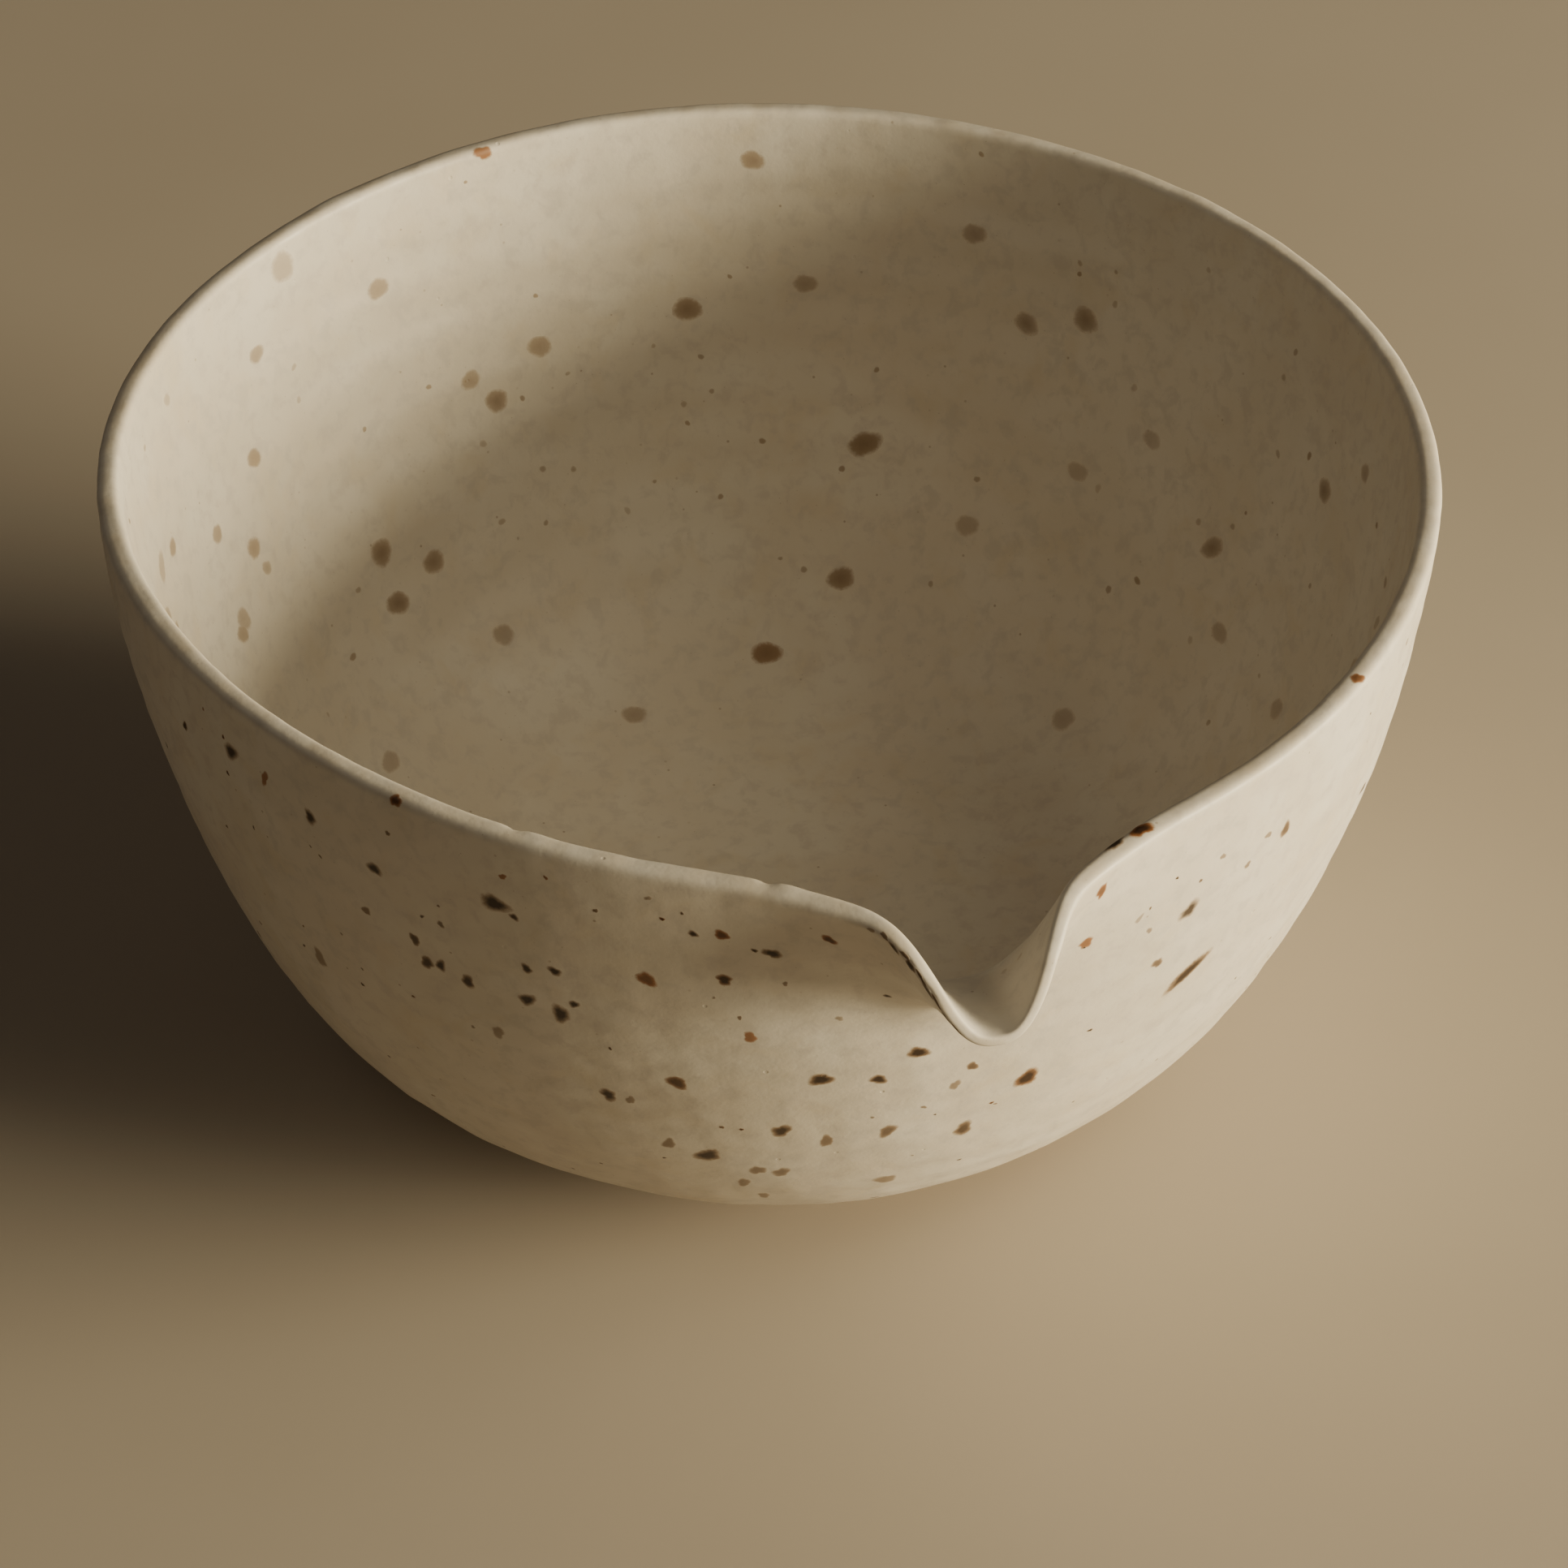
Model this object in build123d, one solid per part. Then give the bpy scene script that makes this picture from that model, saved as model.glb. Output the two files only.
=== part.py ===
"""Hand-thrown stoneware yarn bowl with one finger-pulled spout.

Millimetres. The bowl's axis is Z, its foot stands on z = 0 and the spout points along -Y.
The bowl is one fired body with two coats of glaze: a liner inside and a coat outside.
"""

import math
import os

from build123d import *

# bowl, all sizes over the glaze
RIM_R = 75.0  # outer radius at the rim
HEIGHT = 76.0  # height of the rim before it is pulled
BELLY_START_R = 20.2  # radius where the belly's curve would leave the flat
BELLY_START_Z = 2.7
BELLY_A = 1.395  # roundness of the belly
BELLY_B = 3.6  # steepness of the upper wall

# wall
RIM_WALL = 2.9  # wall at the rim, with both glazes
RIM_SQUARENESS = 2.8  # 2 would be a half circle
FOOT_WALL = 5.0  # wall just above the foot, with both glazes
GLAZE = 0.4
FLOOR_Z = 6.9  # inside floor at the centre, over the glaze

# foot
FOOT_OUTER_R = 36.2
FOOT_INNER_R = 31.2
FOOT_BEVEL = 0.7
FOOT_JOIN_Z = 3.4  # where the belly's curve starts, hidden in the foot
UNDERSIDE_Z = 2.2  # recess inside the foot ring, at its rim
UNDERSIDE_DOME = 0.8  # extra depth of the recess at its centre
GLAZE_LINE_Z = 6.0  # the outer glaze stops here and leaves the foot bare

# spout, measured at the rim
PULL_NARROW = 5.9  # how far the finger draws the lip out
PULL_NARROW_DEG = 5.6
PULL_BROAD = 7.6  # how far the wall beside it follows
PULL_BROAD_DEG = 11.0
DIP = 9.4  # how far the lip drops
DIP_DEG = 4.2
PULL_DEPTH = 22.0  # the pull fades out this far below the rim
DIP_DEPTH = 16.5
LIP_THINNING = 0.5  # share of the wall lost at the tip of the lip

# the rim is not quite round or level: size in mm, waves per turn, phase in degrees
RIM_ROUND_WAVES = [(-0.87, 1, 28), (0.33, 2, -83), (0.76, 3, 1)]
RIM_LEVEL_WAVES = [(0.78, 1, 30), (0.36, 2, 91), (-0.75, 3, -3)]
WAVE_DEPTH = 45.0

RIM_CENTRE_Z = HEIGHT - RIM_WALL / 2
RING_SEAM_DEG = 180.0


def fade(below, depth, power):
    """1 at the rim, easing to 0 at a depth below it."""
    return max(0.0, 1.0 - below / depth) ** power


def bell(deg, width, power):
    return math.exp(-((abs(deg) / width) ** power))


def waves(deg, table):
    return sum(size * math.cos(math.radians(count * deg + phase)) for size, count, phase in table)


def belly(z):
    """Outer radius at a height."""
    u = (z - BELLY_START_Z) / (HEIGHT - BELLY_START_Z)
    u = min(max(u, 0.0), 1.0)
    return BELLY_START_R + (RIM_R - BELLY_START_R) * (1 - (1 - u) ** BELLY_A) ** (1 / BELLY_B)


def wall(z, deg):
    """Wall thickness over both glazes."""
    below = RIM_CENTRE_Z - z
    u = min(max(below / (RIM_CENTRE_Z - FOOT_JOIN_Z), 0.0), 1.0)
    even = RIM_WALL + (FOOT_WALL - RIM_WALL) * u**1.4
    return even * (1 - LIP_THINNING * bell(deg, 8.0, 2.2) * fade(below, 15.0, 1.5))


def middle_profile(z):
    """Radius and height of the middle of the wall, level with the outer surface at z."""
    step = 0.02
    slope = (belly(z + step) - belly(z - step)) / (2 * step)
    length = math.hypot(slope, 1.0)
    half = wall(z, 180.0) / 2
    return belly(z) - half / length, z + half * slope / length


def middle(z, deg):
    """Point on the middle of the wall, after the rim has been pulled into shape."""
    r, height = middle_profile(z)
    below = RIM_CENTRE_Z - height
    pull = PULL_NARROW * bell(deg, PULL_NARROW_DEG, 3.15) * fade(below, PULL_DEPTH, 1.55)
    pull += PULL_BROAD * bell(deg, PULL_BROAD_DEG, 2.0) * fade(below, PULL_DEPTH, 1.7)
    pull += waves(deg, RIM_ROUND_WAVES) * fade(below, WAVE_DEPTH, 2.0)
    dip = DIP * bell(deg, DIP_DEG, 2.63) * fade(below, DIP_DEPTH, 1.6)
    dip -= waves(deg, RIM_LEVEL_WAVES) * fade(below, WAVE_DEPTH, 2.0)
    angle = math.radians(deg)
    return Vector((r + pull) * math.sin(angle), -(r + pull) * math.cos(angle), height - dip)


def wall_directions(z, deg):
    """Outward and upward unit vectors of the wall at a point."""
    along = middle(z, deg + 0.05) - middle(z, deg - 0.05)
    up = middle(z + 0.02, deg) - middle(z - 0.02, deg)
    outward = along.cross(up).normalized()
    return outward, up.normalized()


def ring_angles():
    """Angles from the spout, close together where the lip bends."""
    angles = []
    deg = -RING_SEAM_DEG
    while deg < RING_SEAM_DEG - 1e-6:
        angles.append(deg)
        if abs(deg + 0.01) < 14:
            deg += 1.0
        elif abs(deg + 0.01) < 30:
            deg += 2.0
        else:
            deg += 7.5
    return angles


ANGLES = ring_angles()
PARAMETERS = [(deg + RING_SEAM_DEG) / 360 for deg in ANGLES] + [1.0]
FINISH_Z = [3.4, 3.9, 4.7, 6.0, 8.0, 11.0, 15.0, 20.0, 26.0, 33.0, 40.0, 47.0, 53.0, 58.0, 62.0]
FINISH_Z += [65.0, 67.5, 69.5, 71.2, 72.6, 73.7, RIM_CENTRE_Z]


def ring(point_at):
    """Closed smooth curve through one point per angle."""
    points = [point_at(deg) for deg in ANGLES]
    return Wire([Edge.make_spline(points, periodic=True, parameters=PARAMETERS)])


def wall_ring(z, offset):
    """Ring beside the middle of the wall: offset is +1 for the outside, -1 for the inside."""
    side, trim = offset

    def point(deg):
        outward, _ = wall_directions(z, deg)
        return middle(z, deg) + outward * (side * (wall(z, deg) / 2 - trim))

    return ring(point)


def fullness(turn):
    """Radius of the rim's section, as a share of a half circle's: the crest is a little flattened."""
    square = abs(math.cos(turn)) ** RIM_SQUARENESS + abs(math.sin(turn)) ** RIM_SQUARENESS
    return square ** (-1 / RIM_SQUARENESS)


def rim_ring(turn_deg, trim):
    """Ring on the rounded rim: turn 0 is the outside, 90 the crest and 180 the inside."""

    def point(deg):
        outward, up = wall_directions(RIM_CENTRE_Z, deg)
        turn = math.radians(turn_deg)
        radius = (wall(RIM_CENTRE_Z, deg) / 2 - trim) * fullness(turn)
        edge = outward * math.cos(turn) + up * math.sin(turn)
        return middle(RIM_CENTRE_Z, deg) + edge * radius

    return ring(point)


def level_ring(r, z):
    return ring(lambda deg: Vector(r * math.sin(math.radians(deg)), -r * math.cos(math.radians(deg)), z))


def floor_rings(trim):
    """Rings from the foot of the inner wall in to the middle of the floor."""
    start_r, start_z = inner_wall_foot(trim, FOOT_JOIN_Z)
    next_r, next_z = inner_wall_foot(trim, FOOT_JOIN_Z + 0.5)
    slope = (next_z - start_z) / (next_r - start_r)
    floor_z = FLOOR_Z - trim
    power = slope * start_r / (start_z - floor_z)
    radii = [start_r * share for share in (0.86, 0.7, 0.52, 0.34, 0.16)]
    return [level_ring(r, floor_z + (start_z - floor_z) * (r / start_r) ** power) for r in radii]


def inner_wall_foot(trim, z):
    outward, _ = wall_directions(z, 180.0)
    point = middle(z, 180.0) - outward * (wall(z, 180.0) / 2 - trim)
    return point.Y, point.Z


def bowl_solid(trim):
    """The bowl without its foot, with every surface moved in by trim."""
    outside = [wall_ring(z, (1, trim)) for z in FINISH_Z]
    rim = [rim_ring(turn, trim) for turn in (30, 60, 90, 120, 150)]
    inside = [wall_ring(z, (-1, trim)) for z in reversed(FINISH_Z)]
    return Solid.make_loft(outside + rim + inside + floor_rings(trim))


def foot_solid():
    """Turned foot ring and the recess inside it, reaching up into the floor."""
    buried = FOOT_JOIN_Z + 1.4
    recess = Spline(
        (0, UNDERSIDE_Z + UNDERSIDE_DOME),
        (FOOT_INNER_R * 0.6, UNDERSIDE_Z + UNDERSIDE_DOME * 0.6),
        (FOOT_INNER_R - 1.2, UNDERSIDE_Z),
        tangents=[(1, 0), (1, -0.05)],
    )
    ring_side = Polyline(
        recess @ 1,
        (FOOT_INNER_R, UNDERSIDE_Z - 0.8),
        (FOOT_INNER_R + 0.2, FOOT_BEVEL),
        (FOOT_INNER_R + FOOT_BEVEL, 0),
        (FOOT_OUTER_R - FOOT_BEVEL, 0),
        (FOOT_OUTER_R, FOOT_BEVEL),
        (FOOT_OUTER_R + 0.3, FOOT_JOIN_Z - 0.8),
        (FOOT_OUTER_R + 2.6, buried),
        (0, buried),
        (0, UNDERSIDE_Z + UNDERSIDE_DOME),
    )
    section = Plane.XZ * make_face(recess + ring_side)
    return revolve(section, Axis.Z)


def clay_body():
    return bowl_solid(GLAZE) + foot_solid()


def glaze_skin():
    """Both coats as one skin over the clay bowl."""
    return bowl_solid(0.0) - bowl_solid(GLAZE)


def inside_of_wall():
    """Everything inside the middle of the wall, drawn on past the rim's crest."""

    def past_crest(distance):
        return ring(lambda deg: middle(RIM_CENTRE_Z, deg) + wall_directions(RIM_CENTRE_Z, deg)[1] * distance)

    rings = [ring(lambda deg, z=z: middle(z, deg)) for z in FINISH_Z[:12:3] + FINISH_Z[12:]]
    rings += [past_crest(0.0), past_crest(4.0), level_ring(RIM_R + 25, HEIGHT + 15)]
    return Solid.make_loft(rings, ruled=True)


def liner_glaze():
    return glaze_skin() & inside_of_wall()


def outer_glaze():
    bare = Pos(0, 0, GLAZE_LINE_Z - 50) * Box(300, 300, 100)
    return glaze_skin() - inside_of_wall() - bare


def write(name, shape):
    os.makedirs("parts", exist_ok=True)
    shape.label = name
    export_step(shape, f"parts/{name}.step")


write("clay_body", clay_body())
write("liner_glaze", liner_glaze())
write("outer_glaze", outer_glaze())
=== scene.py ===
"""Speckled stoneware yarn bowl: the looks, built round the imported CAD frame.

Shapes are worked out in millimetres and turned into metres when a mesh is made.
A place on the bowl's skin is (s, deg): s is the distance over the skin from the crest of the
rim, negative down the outside and positive down the inside, and deg is the angle from the spout.
"""

import math

import bpy
import numpy as np
from mathutils import Matrix, Vector


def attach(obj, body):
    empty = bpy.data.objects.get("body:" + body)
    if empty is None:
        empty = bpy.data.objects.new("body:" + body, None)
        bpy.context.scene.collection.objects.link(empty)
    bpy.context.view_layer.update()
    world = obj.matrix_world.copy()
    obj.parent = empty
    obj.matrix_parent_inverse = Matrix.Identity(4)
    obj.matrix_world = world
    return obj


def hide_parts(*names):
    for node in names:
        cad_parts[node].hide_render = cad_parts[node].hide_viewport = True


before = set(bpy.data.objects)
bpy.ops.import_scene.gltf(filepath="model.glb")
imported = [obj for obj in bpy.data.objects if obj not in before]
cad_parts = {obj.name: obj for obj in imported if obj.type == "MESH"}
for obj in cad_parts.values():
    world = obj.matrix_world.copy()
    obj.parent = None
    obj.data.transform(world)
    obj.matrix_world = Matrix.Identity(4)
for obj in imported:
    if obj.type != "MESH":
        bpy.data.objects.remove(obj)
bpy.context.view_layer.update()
MM = 0.001

# the bowl, as in part.py
RIM_R = 75.0
HEIGHT = 76.0
BELLY_START_R = 20.2
BELLY_START_Z = 2.7
BELLY_A = 1.395
BELLY_B = 3.6
RIM_WALL = 2.9
RIM_SQUARENESS = 2.8
FOOT_WALL = 5.0
GLAZE = 0.4
FLOOR_Z = 6.9
FOOT_OUTER_R = 36.2
FOOT_INNER_R = 31.2
FOOT_BEVEL = 0.7
FOOT_JOIN_Z = 3.4
UNDERSIDE_Z = 2.2
UNDERSIDE_DOME = 0.8
GLAZE_LINE_Z = 6.0
PULL_NARROW = 5.9
PULL_NARROW_DEG = 5.6
PULL_BROAD = 7.6
PULL_BROAD_DEG = 11.0
DIP = 9.4
DIP_DEG = 4.2
PULL_DEPTH = 22.0
DIP_DEPTH = 16.5
LIP_THINNING = 0.5
RIM_ROUND_WAVES = [(-0.87, 1, 28), (0.33, 2, -83), (0.76, 3, 1)]
RIM_LEVEL_WAVES = [(0.78, 1, 30), (0.36, 2, 91), (-0.75, 3, -3)]
WAVE_DEPTH = 45.0
RIM_CENTRE_Z = HEIGHT - RIM_WALL / 2
MID_RIM_R = 74.0
BARE_JOIN_Z = 4.4  # the foot's profile meets the belly here

# camera, in metres and degrees
CAMERA_AZIMUTH = -15.32
CAMERA_ELEVATION = 39.55
CAMERA_ROLL = -0.47
CAMERA_DISTANCE = 0.5663
CAMERA_AIM = (0.0, 0.0, 0.0394)
CAMERA_RIGHT = 0.00157
CAMERA_UP = -0.0085
LENS = 111.8

# key light: low and from the right, as by a window
KEY_AZIMUTH = 62.0
KEY_ELEVATION = 10.0


# ---------------------------------------------------------------- shape


def fade(below, depth, power):
    """1 at the rim, easing to 0 at a depth below it."""
    return np.clip(1 - below / depth, 0, None) ** power


def bell(deg, width, power):
    return np.exp(-((np.abs(deg) / width) ** power))


def waves(deg, table):
    return sum(size * np.cos(np.radians(count * deg + phase)) for size, count, phase in table)


def belly(z):
    """Outer radius at a height."""
    u = np.clip((z - BELLY_START_Z) / (HEIGHT - BELLY_START_Z), 0, 1)
    return BELLY_START_R + (RIM_R - BELLY_START_R) * (1 - (1 - u) ** BELLY_A) ** (1 / BELLY_B)


def wall(z, deg):
    """Thickness of the wall, with both glazes."""
    below = RIM_CENTRE_Z - z
    u = np.clip(below / (RIM_CENTRE_Z - FOOT_JOIN_Z), 0, 1)
    even = RIM_WALL + (FOOT_WALL - RIM_WALL) * u**1.4
    return even * (1 - LIP_THINNING * bell(deg, 8.0, 2.2) * fade(below, 15.0, 1.5))


def middle(z, deg):
    """Middle of the wall, after the rim has been pulled into shape."""
    step = 0.02
    slope = (belly(z + step) - belly(z - step)) / (2 * step)
    length = np.hypot(slope, 1.0)
    half = wall(z, 180.0) / 2
    r = belly(z) - half / length
    height = z + half * slope / length
    below = RIM_CENTRE_Z - height
    pull = PULL_NARROW * bell(deg, PULL_NARROW_DEG, 3.15) * fade(below, PULL_DEPTH, 1.55)
    pull = pull + PULL_BROAD * bell(deg, PULL_BROAD_DEG, 2.0) * fade(below, PULL_DEPTH, 1.7)
    pull = pull + waves(deg, RIM_ROUND_WAVES) * fade(below, WAVE_DEPTH, 2.0)
    dip = DIP * bell(deg, DIP_DEG, 2.63) * fade(below, DIP_DEPTH, 1.6)
    dip = dip - waves(deg, RIM_LEVEL_WAVES) * fade(below, WAVE_DEPTH, 2.0)
    angle = np.radians(deg)
    return np.stack([(r + pull) * np.sin(angle), -(r + pull) * np.cos(angle), height - dip], -1)


def unit(v):
    return v / np.linalg.norm(v, axis=-1, keepdims=True)


def wall_directions(z, deg):
    """Directions out of the wall and up along it."""
    along = middle(z, deg + 0.05) - middle(z, deg - 0.05)
    up = middle(z + 0.02, deg) - middle(z - 0.02, deg)
    return unit(np.cross(along, up)), unit(up)


def arc_table(side):
    """Distance down one side of the wall at the back of the bowl, with its heights and points."""
    z = np.linspace(RIM_CENTRE_Z, FOOT_JOIN_Z, 900)
    at = np.full_like(z, 180.0)
    outward, _ = wall_directions(z, at)
    p = middle(z, at) + outward * (side * wall(z, at) / 2)[:, None]
    run = np.r_[0, np.cumsum(np.linalg.norm(np.diff(p, axis=0), axis=1))]
    return run, z, p


OUT_RUN, OUT_Z, _ = arc_table(1)
IN_RUN, IN_Z, IN_P = arc_table(-1)
RIM_QUARTER = math.pi / 2 * RIM_WALL / 2
FLOOR_START_R = IN_P[-1][1]
FLOOR_START_Z = IN_P[-1][2]
FLOOR_SLOPE = (IN_P[-1][2] - IN_P[-20][2]) / (IN_P[-1][1] - IN_P[-20][1])
FLOOR_S = RIM_QUARTER + IN_RUN[-1]
CENTRE_S = FLOOR_S + FLOOR_START_R


def skin(s, deg, depth=0.0):
    """Point at a depth under the glazed surface, with no relief."""
    s, deg = np.broadcast_arrays(np.asarray(s, float), np.asarray(deg, float))
    past = np.maximum(np.abs(s) - RIM_QUARTER, 0)
    z = np.where(s < 0, np.interp(past, OUT_RUN, OUT_Z), np.interp(past, IN_RUN, IN_Z))
    turn = math.pi / 2 * (1 + np.clip(s / RIM_QUARTER, -1, 1))
    outward, up = wall_directions(z, deg)
    c, h = np.cos(turn), np.sin(turn)
    full = (np.abs(c) ** RIM_SQUARENESS + np.abs(h) ** RIM_SQUARENESS) ** (-1 / RIM_SQUARENESS)
    radius = (wall(z, deg) / 2 - depth) * full
    p = middle(z, deg) + outward * (radius * c)[..., None] + up * (radius * h)[..., None]
    on_floor = s > FLOOR_S
    r = np.clip(CENTRE_S - s, 0, None)
    angle = np.radians(deg)
    rise = FLOOR_START_Z - FLOOR_Z
    power = FLOOR_SLOPE * FLOOR_START_R / rise
    floor_z = FLOOR_Z - depth + rise * (r / FLOOR_START_R) ** power
    floor = np.stack([r * np.sin(angle), -r * np.cos(angle), floor_z], -1)
    return np.where(on_floor[..., None], floor, p)


def s_outside(z):
    """s of a height on the outside, before the rim was pulled."""
    return -(RIM_QUARTER + np.interp(-np.asarray(z, float), -OUT_Z, OUT_RUN))


def s_inside(z):
    """s of a height on the inside, before the rim was pulled."""
    return RIM_QUARTER + np.interp(-np.asarray(z, float), -IN_Z, IN_RUN)


# ---------------------------------------------------------------- hand-made unevenness


def soft_noise(p, size, seed):
    """Smooth noise of about -1..1 with lumps of a given size in mm."""
    rng = np.random.default_rng(seed)
    total = np.zeros(p.shape[:-1])
    for _ in range(14):
        direction = rng.normal(size=3)
        direction /= np.linalg.norm(direction)
        pitch = size * rng.uniform(0.7, 1.6)
        total += np.sin(p @ direction * (2 * math.pi / pitch) + rng.uniform(0, 6.28))
    return total / math.sqrt(7 * 2)


# each: angle, distance from the crest, height (less than 0 is a chip), width
NICKS = [(-36.2, 1.25, -0.30, 0.8), (-34.6, 1.2, 0.10, 1.6)]
NICKS += [(-15.4, 1.25, -0.26, 0.8), (-13.9, 1.2, 0.10, 1.4)]
NICKS += [(-5.2, -1.0, -0.14, 0.45), (-4.6, -1.2, -0.16, 0.4), (-3.9, -0.9, -0.14, 0.45)]
NICKS += [(58.0, 0.4, -0.12, 1.8), (121.0, 0.2, 0.10, 4.0)]
NICKS += [(-97.0, 0.0, -0.10, 2.5), (-150.0, 0.1, 0.10, 4.0)]
INSET = 0.12  # the skin is drawn in this far at the rim, to stay inside the CAD box
INSET_REACH = 16.0

# throwing rings: pitch and half height
RING_PITCH_IN = 7.0
RING_RISE_IN = 0.085
RING_PITCH_OUT = 5.2
RING_RISE_OUT = 0.030

# rows of points over the skin: close together at the rim, wider apart lower down
RIM_END = 3.6
UPPER_END = 22.0
RIM_ROWS = 15
UPPER_ROWS = 42
HIDDEN_ROW_STEP = 6  # the back of a coat, against the clay, has one row in this many


def relief(s, deg, p):
    """How far the surface stands proud of the true form, in mm: throwing rings, lumps and nicks."""
    height = p[..., 2]
    lumps = 0.13 * soft_noise(p, 42.0, 3) + 0.05 * soft_noise(p, 15.0, 4)
    fine = 0.024 * soft_noise(p, 5.5, 5) + 0.013 * soft_noise(p, 2.6, 6)
    spiral = height + RING_PITCH_IN * deg / 360
    wander = 1.1 * soft_noise(p, 60.0, 7)
    rings_in = RING_RISE_IN * np.sin(2 * math.pi * (spiral + wander) / RING_PITCH_IN)
    rings_out = RING_RISE_OUT * np.sin(2 * math.pi * (spiral + wander) / RING_PITCH_OUT)
    off_rim = np.clip((np.abs(s) - 3.0) / 9.0, 0, 1)
    calm = np.clip((CENTRE_S - s) / 22.0, 0, 1)
    rings = np.where(s > 0, rings_in * calm, rings_out) * off_rim
    total = lumps * np.clip(np.abs(s) / 12.0 + 0.25, 0, 1) + fine + rings
    near_lip = bell(deg, 9.0, 2.5) * np.clip(1 - np.abs(s) / 16.0, 0, 1)
    total = total * (1 - 0.7 * near_lip) - INSET * np.exp(-((s / INSET_REACH) ** 2))
    for nick_deg, nick_s, size, width in NICKS:
        away = (np.radians(deg - nick_deg) * MID_RIM_R) ** 2 + (s - nick_s) ** 2
        total = total + size * np.exp(-away / width**2)
    return total


def skin_normal(s, deg):
    """Direction out of the true form."""
    step = 0.05
    along_deg = skin(s, deg + step) - skin(s, deg - step)
    along_s = skin(s + step, deg) - skin(s - step, deg)
    return unit(np.cross(along_deg, along_s))


def surface(s, deg, lift=0.0):
    """Point on the finished surface, raised by lift mm."""
    s, deg = np.broadcast_arrays(np.asarray(s, float), np.asarray(deg, float))
    s = np.minimum(s, CENTRE_S - 0.06)
    p = skin(s, deg)
    normal = skin_normal(s, deg)
    return p + normal * (relief(s, deg, p) + lift)[..., None]


# ---------------------------------------------------------------- meshes


def new_object(name, verts, faces, material, normals=None):
    mesh = bpy.data.meshes.new(name)
    mesh.from_pydata((np.asarray(verts) * MM).tolist(), [], faces)
    mesh.validate(clean_customdata=False)
    mesh.polygons.foreach_set("use_smooth", [True] * len(mesh.polygons))
    if normals is not None:
        mesh.normals_split_custom_set_from_vertices(np.asarray(normals).tolist())
    mesh.materials.append(material)
    obj = bpy.data.objects.new(name, mesh)
    bpy.context.scene.collection.objects.link(obj)
    return obj


def paint(obj, name, values):
    """A number for each vertex, which the material reads by name."""
    layer = obj.data.attributes.new(name, "FLOAT", "POINT")
    layer.data.foreach_set("value", np.asarray(values, dtype=np.float32))


def band_faces(rows, columns, first=0, closed_rows=False, outward=False):
    """Quads of a grid that wraps round in its columns; outward turns them to face the other way."""
    last = rows if closed_rows else rows - 1
    i, j = np.meshgrid(np.arange(last), np.arange(columns), indexing="ij")
    i2 = (i + 1) % rows
    j2 = (j + 1) % columns
    quads = np.stack([i * columns + j, i * columns + j2, i2 * columns + j2, i2 * columns + j], -1)
    if outward:
        quads = quads[..., ::-1]
    return (quads.reshape(-1, 4) + first).tolist()


def columns_deg():
    """Angles round the bowl, closer together at the spout."""
    spout = np.arange(-26.0, 26.0, 0.25)
    rest = np.arange(26.0, 334.0, 0.62)
    return np.r_[spout, rest] - 360 * (np.r_[spout, rest] > 180)


DEG = columns_deg()


def grid_normals(p):
    """Normals of the finished surface, from its own points."""
    along_deg = np.roll(p, -1, 1) - np.roll(p, 1, 1)
    along_s = np.gradient(p, axis=0)
    return unit(np.cross(along_deg, along_s))


def glaze_line(deg):
    """s of the wavering lower edge of the outer glaze."""
    angle = np.radians(deg)
    wander = 0.5 * np.sin(3 * angle + 0.4) + 0.35 * np.sin(7 * angle + 2.0) + 0.2 * np.sin(17 * angle)
    return s_outside(GLAZE_LINE_Z) + 0.9 + 0.7 * wander


def row_places(end, lower_rows):
    """Where the rows of points lie: mm from the crest inside, hundredths of the way down outside."""
    near_rim = np.linspace(0, RIM_END, RIM_ROWS)
    upper = np.linspace(RIM_END, UPPER_END, UPPER_ROWS)[1:]
    lower = np.linspace(UPPER_END, end, lower_rows)[1:]
    return np.r_[near_rim, upper, lower]


def build_glaze(inner_material, outer_material):
    """Two closed coats that meet at the crest and share the same surface there."""
    share = row_places(100, 92)[::-1] / 100
    s_out = share[:, None] * glaze_line(DEG)[None, :]
    s_in = row_places(CENTRE_S - 1.0, 118)[1:, None] + 0 * DEG[None, :]
    s = np.vstack([s_out, s_in])
    deg = np.broadcast_to(DEG[None, :], s.shape)
    p = surface(s, deg)
    normals = grid_normals(p)
    crest = len(s_out) - 1
    out = slice(0, crest + 1)
    inner = slice(crest, None)
    outer = ring_coat("outer_glaze_coat", p[out], normals[out], s[out], outer_material)
    liner = bowl_coat("liner_glaze_coat", p[inner], normals[inner], s[inner], inner_material)
    return outer, liner


def coat_back(p, normals, keep):
    """The hidden side of a coat, a hair deeper than the glaze is thick."""
    return p[keep] - normals[keep] * (GLAZE + 0.02)


def paint_coat(obj, s, before, line_share):
    """Marks the crest of the rim and the glaze line, for the material."""
    edge_share = np.zeros(len(obj.data.vertices))
    edge_share[before : before + s.size] = np.exp(-((s.reshape(-1) / 1.5) ** 2))
    paint(obj, "edge", edge_share)
    padded = np.zeros(len(obj.data.vertices))
    padded[: len(line_share)] = line_share
    paint(obj, "line", padded)


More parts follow.
